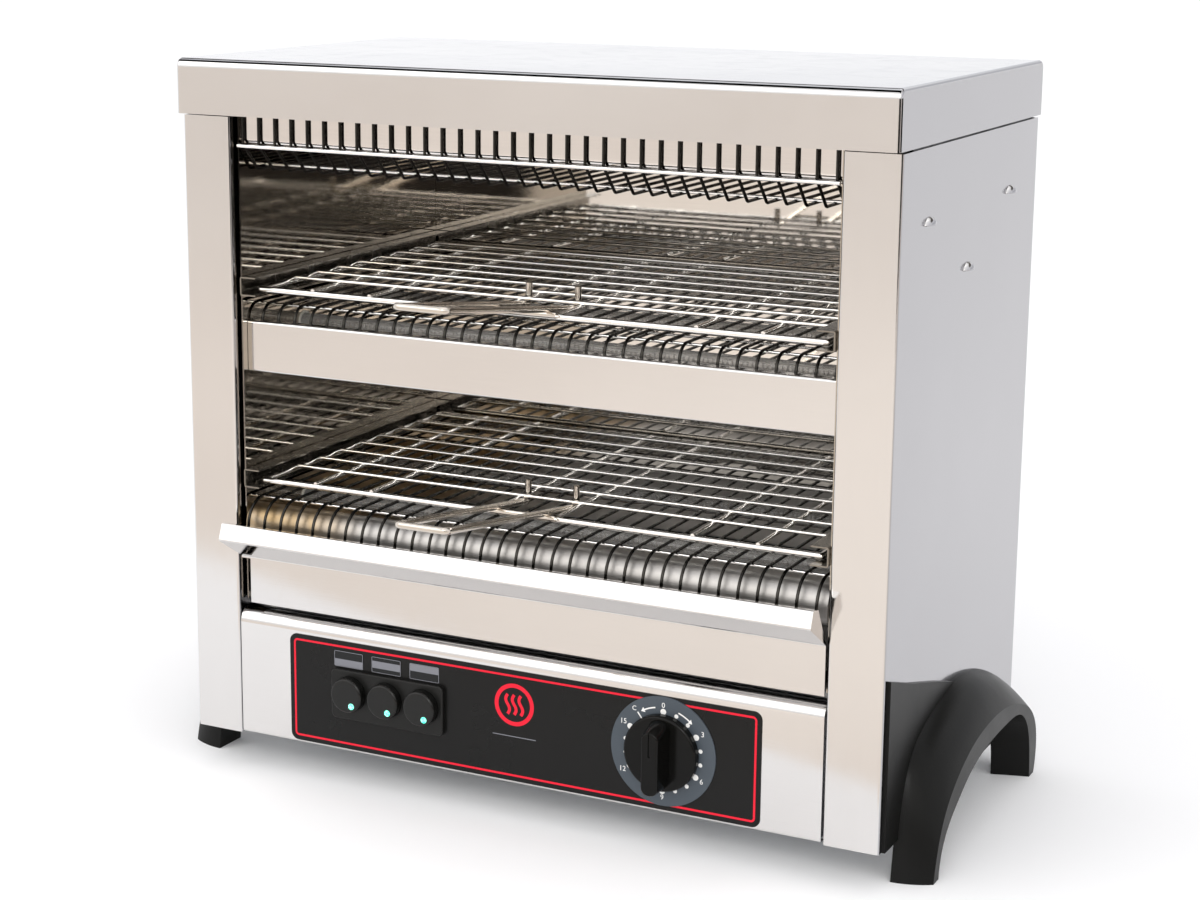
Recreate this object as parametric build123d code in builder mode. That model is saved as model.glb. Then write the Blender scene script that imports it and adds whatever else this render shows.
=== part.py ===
from build123d import *
import os

os.makedirs("parts", exist_ok=True)

# Two-level open-front quartz toaster, in millimetres.
# Origin on the floor in the middle of the overall box, +Z up, the open front facing -Y.

# Overall casing
HALF_WIDTH = 268.0
FRONT = -100.0
COVER_DEPTH = 310.0
UNDERSIDE = 28.0
COVER_TOP = 524.0
COVER_DROP = 39.0
SHEET = 1.2
THIN_SHEET = 0.8
BEND = 2.0

# Front opening
PILLAR_SETBACK = 7.3
PILLAR_FACE = FRONT + PILLAR_SETBACK
OPENING_HALF = 229.0
WALL_X = 226.0
WALL_FRONT = FRONT + 15.0
BACK_WALL_Y = FRONT + 292.0
SIDE_BACK = FRONT + 301.0
COVER_BOTTOM = COVER_TOP - COVER_DROP
SIDE_TOP = COVER_BOTTOM - 1.4

# Control panel and label
PANEL_TOP = 124.0
PANEL_BOTTOM = 29.0
PANEL_HALF = 228.0
PANEL_ROLL = 10.0
LABEL_HALF = 185.0
LABEL_BOTTOM = 31.0
LABEL_TOP = 112.0
LABEL_THICK = 0.5
LABEL_FACE = PILLAR_FACE - LABEL_THICK
BUTTON_Z = 75.0
BUTTON_XS = (-131.5, -101.5, -71.5)
WINDOW_Z = 98.8
WINDOW_XS = (-134.8, -103.4, -72.0)
BUTTON_DIA = 25.6
BUTTON_TRAVEL = 3.0
BEZEL_DEPTH = 4.0
TIMER_X = 114.0
TIMER_Z = 73.0
DIAL_DIA = 77.5
DIAL_THICK = 1.0
KNOB_DIA = 53.5
SHAFT_DIA = 6.0

# Crumb tray
DECK_TOP = 129.6
TRAY_FLOOR = DECK_TOP + 0.4
TRAY_BACK = FRONT + 285.0
TRAY_HALF = 220.0
TRAY_SHIFT = 4.5
LIP_LEFT = -226.0
LIP_RIGHT = 227.5
STRIP_LEFT = -218.5

# Guards and reflectors
WIRE = 2.2
UPPER_HOOPS = (34, 13.5)
LOWER_HOOPS = (33, 13.75)
GUARD_BACK = FRONT + 290.0
LOWER_GUARD_Z = 206.0
MIDDLE_LOW_Z = 303.0
MIDDLE_HIGH_Z = 347.0
UPPER_GUARD_Z = 445.0
UPPER_GUARD_FRONT = FRONT + 15.0
UPPER_BAR_Z = 464.0
ROLL_RADIUS = 13.5
ROLL_Y = FRONT + 27.0
LOWER_ROLL_Z = 187.0
REFLECTOR_ROOF = 497.0

# Quartz tubes
TUBE_OUTER = 12.0
TUBE_INNER = 9.6
COIL_DIA = 5.0
TUBE_HALF = 232.0
TUBE_YS = {"front": FRONT + 95.0, "rear": FRONT + 215.0}
TUBE_ZS = {"upper": 465.0, "middle": 325.0, "lower": 190.0}

# Racks
RACK_DROP = 141.0
RACK_LEVELS = {"upper": 359.6, "lower": 359.6 - RACK_DROP}
FRAME_WIRE = 4.5
RACK_WIRE = 3.0
RACK_HALF = 216.0
RACK_FRONT = FRONT + 24.7
RACK_BACK = FRONT + 281.0
SECOND_WIRE_Y = FRONT + 58.0
RACK_PITCH = 29.0
RACK_WIRES = 8
CROSS_XS = (-172.0, -125.0, -24.0, 24.0, 125.0, 172.0)
HANDLE_WIRE = 4.8
HANDLE_REACH = FRONT - 122.0 + HANDLE_WIRE / 2
HANDLE_RISE = 25.4
HANDLE_HALF = 19.0

# Mid front bar
BAR_FACE = FRONT + 20.5
BAR_BOTTOM = 299.3
BAR_TOP = 336.8

# Feet
FOOT_INNER_X = HALF_WIDTH
FOOT_MID_Y = FRONT + 157.0

FRONT_PLANE = Plane.XZ
SIDE_PLANE = Plane.YZ


def write(piece, label):
    """Labels a finished piece and writes it as its own STEP file."""
    piece.part.label = label
    export_step(piece.part, f"parts/{label}.step")


def facing(y):
    """A plane that faces the front (-Y) at depth y, with local x along +X and local y up."""
    return FRONT_PLANE.offset(-y)


def wire(points, diameter, bend=0.0):
    """A round wire along straight runs joined by bends."""
    with BuildPart() as rod:
        with BuildLine() as route:
            if bend:
                FilletPolyline(*points, radius=bend)
            else:
                Line(*points)
        with BuildSketch(Plane(origin=route.line @ 0, z_dir=route.line % 0)):
            Circle(diameter / 2)
        sweep()
    return rod.part


def folded_sheet(points, plane, length, thickness, bend, side=Side.LEFT):
    """A sheet whose section follows the points, folded with the given bend, extruded both ways."""
    with BuildPart() as sheet:
        with BuildSketch(plane):
            with BuildLine():
                edge = FilletPolyline(*points, radius=bend)
                offset(edge, amount=thickness, side=side)
            make_face()
        extrude(amount=length / 2, both=True)
    return sheet.part


# ---------------------------------------------------------------- casing


def make_top_cover():
    inner_half = HALF_WIDTH - SHEET
    depth_mid = FRONT + COVER_DEPTH / 2
    with BuildPart() as cover:
        with BuildSketch(Plane.XY.offset(COVER_BOTTOM)):
            with Locations((0, depth_mid)):
                Rectangle(2 * HALF_WIDTH, COVER_DEPTH)
        extrude(amount=COVER_DROP)
        top_edges = cover.edges().group_by(Axis.Z)[-1]
        fillet(top_edges.filter_by(Axis.X), radius=6.0)
        fillet(cover.edges().filter_by(Axis.Y).group_by(Axis.Z)[-1].sort_by(Axis.X)[0], radius=2.5)
        fillet(cover.edges().filter_by(Axis.Y).group_by(Axis.Z)[-1].sort_by(Axis.X)[-1], radius=2.5)
        with BuildSketch(Plane.XY.offset(COVER_BOTTOM)):
            with Locations((0, depth_mid)):
                Rectangle(2 * inner_half, COVER_DEPTH - 2 * SHEET)
        extrude(amount=COVER_DROP - SHEET, mode=Mode.SUBTRACT)
        # Open seams where the folded flaps meet at the four corners.
        seam = 1.6
        with BuildSketch(Plane.XY.offset(COVER_BOTTOM)):
            for seam_y in (FRONT + SHEET + seam / 2, FRONT + COVER_DEPTH - SHEET - seam / 2):
                with Locations((-HALF_WIDTH, seam_y), (HALF_WIDTH, seam_y)):
                    Rectangle(4 * SHEET, seam)
        extrude(amount=COVER_DROP - 6.0, mode=Mode.SUBTRACT)
    write(cover, "top_cover")


LOUVRES = ((FRONT + 62.0, 434.0), (FRONT + 147.0, 394.0), (FRONT + 238.0, 436.0))
LOUVRE_HALF = 10.0
LOUVRE_BULGE = 4.5
LOUVRE_SHEET = 0.8


def louvre_hood(y, z):
    """An eyelid pressed outward from the right side panel, open below."""
    axis_plane = Plane(origin=(HALF_WIDTH - SHEET, y, z), x_dir=(0, 1, 0), z_dir=(1, 0, 0))
    with BuildPart() as hood:
        with BuildSketch(axis_plane):
            with BuildLine():
                ThreePointArc((-LOUVRE_HALF, 0), (0, LOUVRE_BULGE + SHEET), (LOUVRE_HALF, 0))
                Line((LOUVRE_HALF, 0), (LOUVRE_HALF - 2, 0))
                ThreePointArc(
                    (LOUVRE_HALF - 2, 0), (0, LOUVRE_BULGE + SHEET - LOUVRE_SHEET), (2 - LOUVRE_HALF, 0)
                )
                Line((2 - LOUVRE_HALF, 0), (-LOUVRE_HALF, 0))
            make_face()
        revolve(axis=Axis((HALF_WIDTH - SHEET, y, z), (0, 1, 0)), revolution_arc=90)
    return hood.part


def make_side_panels():
    hoods = [louvre_hood(y, z) for y, z in LOUVRES]
    section = (
        (OPENING_HALF, PILLAR_FACE + 14.0),
        (OPENING_HALF, PILLAR_FACE),
        (HALF_WIDTH, PILLAR_FACE),
        (HALF_WIDTH, SIDE_BACK),
    )
    with BuildPart() as right_side_panel:
        with BuildSketch(Plane.XY.offset(UNDERSIDE)):
            with BuildLine():
                edge = FilletPolyline(*section, radius=BEND)
                offset(edge, amount=SHEET, side=Side.LEFT)
            make_face()
        extrude(amount=SIDE_TOP - UNDERSIDE)
        for y, z in LOUVRES:
            with BuildSketch(Plane.YZ.offset(HALF_WIDTH - 3 * SHEET)):
                with Locations((y, z + 1.5)):
                    Rectangle(2 * LOUVRE_HALF - 5, 3.0)
            extrude(amount=4 * SHEET, mode=Mode.SUBTRACT)
        add(hoods)
        with Locations(*[Location((HALF_WIDTH, y, z), (0, 90, 0)) for y, z in FOOT_SCREWS]):
            Hole(radius=FOOT_SCREW_HOLE / 2)
    write(right_side_panel, "right_side_panel")
    with BuildPart() as left_side_panel:
        mirror(right_side_panel.part, about=Plane.YZ)
    write(left_side_panel, "left_side_panel")


VENT_ROWS = 5
GLAND_X = -190.0
GLAND_Z = 62.0
GLAND_HOLE = 20.4
BACK_SCREWS = ((-240.0, 60.0), (240.0, 60.0), (-240.0, 450.0), (240.0, 450.0), (0.0, 450.0))
BACK_SCREW_DIA = 4.0


def make_back_panel():
    panel_y = SIDE_BACK - SHEET
    with BuildPart() as back_panel:
        with BuildSketch(facing(panel_y)):
            with Locations((0, (UNDERSIDE + SIDE_TOP) / 2 + 1.5)):
                RectangleRounded(2 * HALF_WIDTH - 3.0, SIDE_TOP - UNDERSIDE - 3.0, 2.0)
        extrude(amount=-SHEET)
        # Vent slots for the control compartment, low on the right.
        with BuildSketch(facing(panel_y)):
            with Locations((120, 76)):
                with GridLocations(40, 12, 4, VENT_ROWS):
                    SlotOverall(30, 4)
            with Locations((GLAND_X, GLAND_Z)):
                Circle(GLAND_HOLE / 2)
            with Locations(*BACK_SCREWS):
                Circle(BACK_SCREW_DIA / 2 + 0.1)
        extrude(amount=2 * SHEET, both=True, mode=Mode.SUBTRACT)
    write(back_panel, "back_panel")


def make_base_pan():
    with BuildPart() as base_pan:
        with BuildSketch(Plane.XY.offset(UNDERSIDE)):
            with Locations((0, (PILLAR_FACE + 6 + SIDE_BACK - 3) / 2)):
                Rectangle(2 * (HALF_WIDTH - SHEET) - 0.6, SIDE_BACK - 3 - PILLAR_FACE - 6)
        extrude(amount=12.0)
        offset(
            amount=-SHEET,
            openings=base_pan.faces().sort_by(Axis.Z)[-1],
            kind=Kind.INTERSECTION,
        )
        with BuildSketch(Plane.XY.offset(UNDERSIDE)):
            with Locations((0, FRONT + 150)):
                with GridLocations(60, 14, 5, 6):
                    SlotOverall(46, 5)
        extrude(amount=SHEET, mode=Mode.SUBTRACT)
        # Relief for the return folds of the two front pillars.
        with BuildSketch(Plane.XY.offset(UNDERSIDE)):
            with Locations((-OPENING_HALF, PILLAR_FACE + 10), (OPENING_HALF, PILLAR_FACE + 10)):
                Rectangle(8, 12)
        extrude(amount=14.0, mode=Mode.SUBTRACT)
    write(base_pan, "base_pan")


ROOF_Z = 509.0


def make_roof_frame():
    """The folded frame that the side panels and the cover are both fixed to."""
    half = HALF_WIDTH - SHEET - 0.3
    section = ((-half, 470.0), (-half, ROOF_Z), (half, ROOF_Z), (half, 470.0))
    frame_front = FRONT + 30.0
    frame_back = FRONT + 290.0
    sheet = folded_sheet(
        section, facing((frame_front + frame_back) / 2), frame_back - frame_front, SHEET, BEND, Side.RIGHT
    )
    with BuildPart() as roof_frame:
        add(sheet)
        with BuildSketch(Plane.XY.offset(ROOF_Z - 3)):
            with Locations((0, FRONT + 160)):
                with GridLocations(120, 100, 4, 2):
                    RectangleRounded(90, 70, 8)
        extrude(amount=6, mode=Mode.SUBTRACT)
    write(roof_frame, "roof_frame")


def make_inner_walls():
    with BuildPart() as right_inner_wall:
        with BuildSketch(SIDE_PLANE.offset(WALL_X)):
            with Locations(((WALL_FRONT + BACK_WALL_Y) / 2, (DECK_TOP + 505.0) / 2 + 0.4)):
                Rectangle(BACK_WALL_Y - WALL_FRONT, 505.0 - DECK_TOP)
            for z in TUBE_ZS.values():
                with Locations(*[(y, z) for y in TUBE_YS.values()]):
                    Circle(CAP_NECK / 2 + 0.2, mode=Mode.SUBTRACT)
        extrude(amount=1.0)
    write(right_inner_wall, "right_inner_wall")
    with BuildPart() as left_inner_wall:
        mirror(right_inner_wall.part, about=Plane.YZ)
    write(left_inner_wall, "left_inner_wall")
    with BuildPart() as inner_back_wall:
        with BuildSketch(facing(BACK_WALL_Y + 0.4)):
            with Locations((0, (DECK_TOP + 505.0) / 2 + 0.4)):
                Rectangle(2 * WALL_X + 2.0, 505.0 - DECK_TOP)
        extrude(amount=-1.0)
    write(inner_back_wall, "inner_back_wall")


def make_mid_front_bar():
    section = (
        (BAR_FACE + 8.0, BAR_BOTTOM),
        (BAR_FACE, BAR_BOTTOM),
        (BAR_FACE, BAR_TOP),
        (BAR_FACE + 8.0, BAR_TOP),
    )
    bar = folded_sheet(section, SIDE_PLANE, 2 * WALL_X - 0.6, SHEET, BEND, Side.RIGHT)
    with BuildPart() as mid_front_bar:
        add(bar)
    write(mid_front_bar, "mid_front_bar")


def make_tray_deck():
    section = (
        (PILLAR_FACE + 26.0, DECK_TOP - 14.0),
        (PILLAR_FACE + 26.0, DECK_TOP),
        (BACK_WALL_Y + 4.0, DECK_TOP),
        (BACK_WALL_Y + 4.0, DECK_TOP - 14.0),
    )
    deck = folded_sheet(section, SIDE_PLANE, 2 * (HALF_WIDTH - SHEET) - 1.0, SHEET, BEND, Side.RIGHT)
    with BuildPart() as tray_deck:
        add(deck)
    write(tray_deck, "tray_deck")


def make_control_panel():
    section = (
        (PILLAR_FACE + 5.0, PANEL_BOTTOM),
        (PILLAR_FACE, PANEL_BOTTOM),
        (PILLAR_FACE, PANEL_TOP),
        (PILLAR_FACE + 24.0, PANEL_TOP),
    )
    sheet = folded_sheet(section, SIDE_PLANE, 2 * PANEL_HALF, SHEET, (BEND, PANEL_ROLL), Side.RIGHT)
    with BuildPart() as control_panel:
        add(sheet)
        with BuildSketch(facing(PILLAR_FACE)):
            with Locations(*[(x, BUTTON_Z) for x in BUTTON_XS]):
                Circle(SWITCH_NECK / 2 + 0.2)
            with Locations((TIMER_X, TIMER_Z)):
                Circle(TIMER_NECK / 2 + 0.2)
        extrude(amount=-2 * SHEET, mode=Mode.SUBTRACT)
    write(control_panel, "control_panel")


# ---------------------------------------------------------------- heating

CAP_NECK = 15.0
CAP_FLANGE = 22.0
CAP_SHOULDER = 2.2
CAP_LENGTH = 18.0


def make_heating():
    for row, z in TUBE_ZS.items():
        for place, y in TUBE_YS.items():
            with BuildPart() as tube:
                with BuildSketch(SIDE_PLANE):
                    with Locations((y, z)):
                        Circle(TUBE_OUTER / 2)
                        Circle(TUBE_INNER / 2, mode=Mode.SUBTRACT)
                extrude(amount=TUBE_HALF, both=True)
            write(tube, f"{row}_tube_{place}")
    centres = [(y, z) for z in TUBE_ZS.values() for y in TUBE_YS.values()]
    with BuildPart() as heating_coils:
        with BuildSketch(SIDE_PLANE):
            with Locations(*centres):
                Circle(COIL_DIA / 2)
        extrude(amount=TUBE_HALF - 12, both=True)
    write(heating_coils, "heating_coils")
    with BuildPart() as end_caps:
        for side in (-1, 1):
            face = SIDE_PLANE.offset(side * (WALL_X - 1.0))
            with BuildSketch(face):
                with Locations(*centres):
                    Circle(CAP_NECK / 2)
            extrude(amount=side * CAP_SHOULDER)
            with BuildSketch(face.offset(side * CAP_SHOULDER)):
                with Locations(*centres):
                    Circle(CAP_FLANGE / 2)
            extrude(amount=side * CAP_LENGTH)
            with BuildSketch(face):
                with Locations(*centres):
                    Circle(TUBE_OUTER / 2 + 0.1)
            extrude(amount=side * (CAP_SHOULDER + 6.0), mode=Mode.SUBTRACT)
    write(end_caps, "end_caps")


def make_reflectors():
    """Mirror-finished troughs with a rolled front edge, behind the guard wires."""
    floor_z = 174.0
    half = WALL_X - 0.4
    with BuildPart() as lower_reflector:
        with BuildSketch(SIDE_PLANE):
            with BuildLine():
                outer = FilletPolyline(
                    (ROLL_Y + 4.0, LOWER_ROLL_Z + ROLL_RADIUS - 4.0),
                    (ROLL_Y + 4.0, LOWER_ROLL_Z + ROLL_RADIUS),
                    (ROLL_Y - ROLL_RADIUS, LOWER_ROLL_Z + ROLL_RADIUS),
                    (ROLL_Y - ROLL_RADIUS, floor_z),
                    (GUARD_BACK - 4.0, floor_z),
                    (GUARD_BACK - 4.0, LOWER_ROLL_Z + 6.0),
                    radius=(1.5, ROLL_RADIUS - 0.5, 5.0, 5.0),
                )
                offset(outer, amount=THIN_SHEET, side=Side.LEFT)
            make_face()
        extrude(amount=half, both=True)
        # Crumb slots between the tubes.
        with BuildSketch(Plane.XY.offset(floor_z - 3)):
            for slot_y in (FRONT + 60.0, FRONT + 130.0, FRONT + 180.0, FRONT + 250.0):
                with Locations((-110, slot_y), (110, slot_y)):
                    SlotOverall(190, 14)
        extrude(amount=6, mode=Mode.SUBTRACT)
    write(lower_reflector, "lower_reflector")
    face_y = UPPER_GUARD_FRONT + WIRE / 2 + 0.5
    with BuildPart() as upper_reflector:
        with BuildSketch(SIDE_PLANE):
            with BuildLine():
                outer = FilletPolyline(
                    (face_y + 14.0, UPPER_BAR_Z + 3.0),
                    (face_y + 14.0, UPPER_BAR_Z - 1.0),
                    (face_y, UPPER_BAR_Z - 1.0),
                    (face_y, REFLECTOR_ROOF),
                    (GUARD_BACK - 4.0, REFLECTOR_ROOF),
                    (GUARD_BACK - 4.0, REFLECTOR_ROOF - 37.0),
                    radius=(1.5, 5.0, 5.0, 5.0),
                )
                offset(outer, amount=THIN_SHEET, side=Side.RIGHT)
            make_face()
        extrude(amount=half, both=True)
    write(upper_reflector, "upper_reflector")


def make_guard(label, hoop, bend, bars, hoop_row):
    """Hoops that run from front to back, welded to a few bars that run across."""
    count, pitch = hoop_row
    hoops = []
    for i in range(count):
        x = (i - (count - 1) / 2) * pitch
        hoops.append(wire([(x, y, z) for y, z in hoop], WIRE, bend))
    bar_half = WALL_X - 0.5
    cross = [wire([(-bar_half, y, z), (bar_half, y, z)], diameter) for y, z, diameter in bars]
    with BuildPart() as guard:
        add(cross)
        add(hoops)
    write(guard, label)


def make_guards():
    weld = 0.4
    step = WIRE - weld
    make_guard(
        "lower_guard",
        ((FRONT + 8, 184), (FRONT + 8, LOWER_GUARD_Z), (GUARD_BACK, LOWER_GUARD_Z)),
        19.0,
        (
            (FRONT + 31, LOWER_GUARD_Z - step, WIRE),
            (FRONT + 150, LOWER_GUARD_Z - step, WIRE),
            (FRONT + 275, LOWER_GUARD_Z - step, WIRE),
        ),
        LOWER_HOOPS,
    )
    make_guard(
        "middle_guard_low",
        ((FRONT + 31, 322), (FRONT + 31, MIDDLE_LOW_Z), (GUARD_BACK, MIDDLE_LOW_Z)),
        12.0,
        (
            (FRONT + 60, MIDDLE_LOW_Z + step, WIRE),
            (FRONT + 150, MIDDLE_LOW_Z + step, WIRE),
            (FRONT + 275, MIDDLE_LOW_Z + step, WIRE),
        ),
        LOWER_HOOPS,
    )
    make_guard(
        "middle_guard_high",
        ((FRONT + 31, 328), (FRONT + 31, MIDDLE_HIGH_Z), (GUARD_BACK, MIDDLE_HIGH_Z)),
        12.0,
        (
            (FRONT + 47, MIDDLE_HIGH_Z - step, WIRE),
            (FRONT + 150, MIDDLE_HIGH_Z - step, WIRE),
            (FRONT + 275, MIDDLE_HIGH_Z - step, WIRE),
        ),
        LOWER_HOOPS,
    )
    make_guard(
        "upper_guard",
        (
            (UPPER_GUARD_FRONT, 490),
            (UPPER_GUARD_FRONT, UPPER_BAR_Z),
            (FRONT + 33, UPPER_GUARD_Z),
            (GUARD_BACK, UPPER_GUARD_Z),
        ),
        4.0,
        (
            (UPPER_GUARD_FRONT - 2.1, UPPER_BAR_Z - 1.0, 3.0),
            (FRONT + 48, UPPER_GUARD_Z + step, WIRE),
            (FRONT + 150, UPPER_GUARD_Z + step, WIRE),
            (FRONT + 275, UPPER_GUARD_Z + step, WIRE),
        ),
        UPPER_HOOPS,
    )


# ---------------------------------------------------------------- racks


def make_rack(label, level):
    """A welded wire rack: frame wire, cross wires on it, and the toast wires on top."""
    cross_z = level + 2.0
    toast_z = level + 4.5
    frame = [
        wire([(-RACK_HALF, RACK_FRONT, level), (RACK_HALF, RACK_FRONT, level)], FRAME_WIRE),
        wire([(-RACK_HALF, RACK_BACK, level), (RACK_HALF, RACK_BACK, level)], FRAME_WIRE),
        wire([(-RACK_HALF, RACK_FRONT, level), (-RACK_HALF, RACK_BACK, level)], FRAME_WIRE),
        wire([(RACK_HALF, RACK_FRONT, level), (RACK_HALF, RACK_BACK, level)], FRAME_WIRE),
    ]
    cross = [wire([(x, RACK_FRONT - 1, cross_z), (x, RACK_BACK, cross_z)], RACK_WIRE) for x in CROSS_XS]
    toast = []
    for i in range(RACK_WIRES):
        y = SECOND_WIRE_Y + i * RACK_PITCH
        run = (
            (-RACK_HALF, y, level + 1.0),
            (-RACK_HALF + 7, y, toast_z),
            (RACK_HALF - 7, y, toast_z),
            (RACK_HALF, y, level + 1.0),
        )
        toast.append(wire(run, RACK_WIRE, 4.0))
    with BuildPart() as rack:
        add(frame)
        with Locations(
            (-RACK_HALF, RACK_FRONT, level),
            (RACK_HALF, RACK_FRONT, level),
            (-RACK_HALF, RACK_BACK, level),
            (RACK_HALF, RACK_BACK, level),
        ):
            Sphere(FRAME_WIRE / 2)
        add(cross)
        add(toast)
    write(rack, label)


def make_handle(label, level):
    """A lever handle of bent wire: under the second toast wire, over the front wire, out to a grip bar."""
    foot_y = SECOND_WIRE_Y + 5.0
    foot_z = level - 0.3
    tip_half = HANDLE_HALF - 1.0
    route = (
        (-HANDLE_HALF, foot_y, level + 15.0),
        (-HANDLE_HALF, foot_y, foot_z),
        (-tip_half, HANDLE_REACH, level + HANDLE_RISE),
        (tip_half, HANDLE_REACH, level + HANDLE_RISE),
        (HANDLE_HALF, foot_y, foot_z),
        (HANDLE_HALF, foot_y, level + 15.0),
    )
    loop = wire(route, HANDLE_WIRE, 4.0)
    bar_y = RACK_FRONT - 5.5
    bar_z = level + 2.2
    bar = wire([(-25.0, bar_y, bar_z), (25.0, bar_y, bar_z)], HANDLE_WIRE)
    with BuildPart() as handle:
        add(loop)
        add(bar)
    write(handle, label)


def make_rails():
    for row, level in RACK_LEVELS.items():
        low = level - 3.7
        section = (
            (WALL_X - 13.0, low),
            (WALL_X - 0.3, low),
            (WALL_X - 0.3, low + 13.6),
            (WALL_X - 13.0, low + 13.6),
        )
        run = folded_sheet(
            section, facing((FRONT + 12 + GUARD_BACK) / 2), GUARD_BACK - FRONT - 12, 1.0, 1.5
        )
        with BuildPart() as right_rail:
            add(run)
        write(right_rail, f"right_{row}_rail")
        with BuildPart() as left_rail:
            mirror(run, about=Plane.YZ)
        write(left_rail, f"left_{row}_rail")


# ---------------------------------------------------------------- crumb tray


def make_crumb_tray():
    wall = 14.0
    depth = TRAY_BACK - PILLAR_FACE - 1.0
    with BuildPart() as crumb_tray:
        with BuildSketch(Plane.XY.offset(TRAY_FLOOR)):
            with Locations((TRAY_SHIFT, PILLAR_FACE + 1.0 + depth / 2)):
                Rectangle(2 * TRAY_HALF, depth)
        extrude(amount=wall)
        fillet(crumb_tray.edges().filter_by(Axis.Z), radius=3.0)
        offset(amount=-THIN_SHEET, openings=crumb_tray.faces().sort_by(Axis.Z)[-1])
    write(crumb_tray, "crumb_tray")
    # The front of the tray: an upright strip, folded out to a pull lip with closed ends.
    sheet = 1.0
    strip_top = (PILLAR_FACE, 164.5)
    lip_low = (FRONT - 21.5, 182.6)
    lip_top = (FRONT - 17.0, 194.5)
    lip_back = (FRONT - 8.0, 192.5)
    section = ((PILLAR_FACE, TRAY_FLOOR), strip_top, lip_low, lip_top, lip_back)
    strip = folded_sheet(section, SIDE_PLANE, LIP_RIGHT - LIP_LEFT, sheet, 1.2, Side.RIGHT)
    middle = (LIP_LEFT + LIP_RIGHT) / 2
    with BuildPart() as gusset:
        with BuildSketch(SIDE_PLANE.offset(LIP_LEFT)):
            with BuildLine():
                Polyline(
                    (strip_top[0] + 0.3, strip_top[1] + 0.6),
                    (lip_low[0] + 0.8, lip_low[1] + 0.4),
                    (lip_top[0] + 0.8, lip_top[1] - 0.7),
                    (lip_back[0], lip_back[1] - 0.4),
                    close=True,
                )
            make_face()
        extrude(amount=sheet)
    left_gusset = gusset.part
    right_gusset = left_gusset.moved(Location((LIP_RIGHT - LIP_LEFT - sheet, 0, 0)))
    with BuildPart() as tray_front:
        with Locations((middle, 0, 0)):
            add(strip)
        add([left_gusset, right_gusset])
        # The upright strip stops short of the lip at the left end.
        with BuildSketch(Plane.XY.offset(TRAY_FLOOR - 1.0)):
            with Locations(((LIP_LEFT - 1.0 + STRIP_LEFT) / 2, PILLAR_FACE)):
                Rectangle(STRIP_LEFT - LIP_LEFT + 1.0, 4.0)
        extrude(amount=strip_top[1] - TRAY_FLOOR - 0.5, mode=Mode.SUBTRACT)
    write(tray_front, "tray_front")


# ---------------------------------------------------------------- controls

SWITCH_NECK = 10.0
TIMER_NECK = 12.0
BUTTON_STEM = 7.0
BUTTON_PROUD = 6.5
LENS_DIA = 4.6
LENS_SHIFT = (4.9, -7.0)


def make_label():
    with BuildPart() as panel_label:
        with BuildSketch(facing(PILLAR_FACE)):
            with Locations((0, (LABEL_BOTTOM + LABEL_TOP) / 2)):
                RectangleRounded(2 * LABEL_HALF, LABEL_TOP - LABEL_BOTTOM, 6.0)
            with Locations(*[(x, BUTTON_Z) for x in BUTTON_XS]):
                Circle(SWITCH_NECK / 2 + 0.2, mode=Mode.SUBTRACT)
            with Locations((TIMER_X, TIMER_Z)):
                Circle(TIMER_NECK / 2 + 0.2, mode=Mode.SUBTRACT)
        extrude(amount=LABEL_THICK)
    write(panel_label, "panel_label")
    with BuildPart() as symbol_windows:
        with BuildSketch(facing(LABEL_FACE)):
            with Locations(*[(x, WINDOW_Z) for x in WINDOW_XS]):
                RectangleRounded(24.0, 11.6, 1.0)
        extrude(amount=0.4)
    write(symbol_windows, "symbol_windows")


def make_button_bezel():
    with BuildPart() as button_bezel:
        with BuildSketch(facing(LABEL_FACE)):
            with Locations((BUTTON_XS[1], BUTTON_Z - 1.6)):
                RectangleRounded(92.5, 37.0, 4.0)
        extrude(amount=BEZEL_DEPTH)
        fillet(button_bezel.faces().sort_by(Axis.Y)[0].edges(), radius=1.2)
        with Locations(*[Location((x, LABEL_FACE, BUTTON_Z), (90, 0, 0)) for x in BUTTON_XS]):
            Hole(radius=BUTTON_DIA / 2 + 0.2)
    write(button_bezel, "button_bezel")


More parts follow.
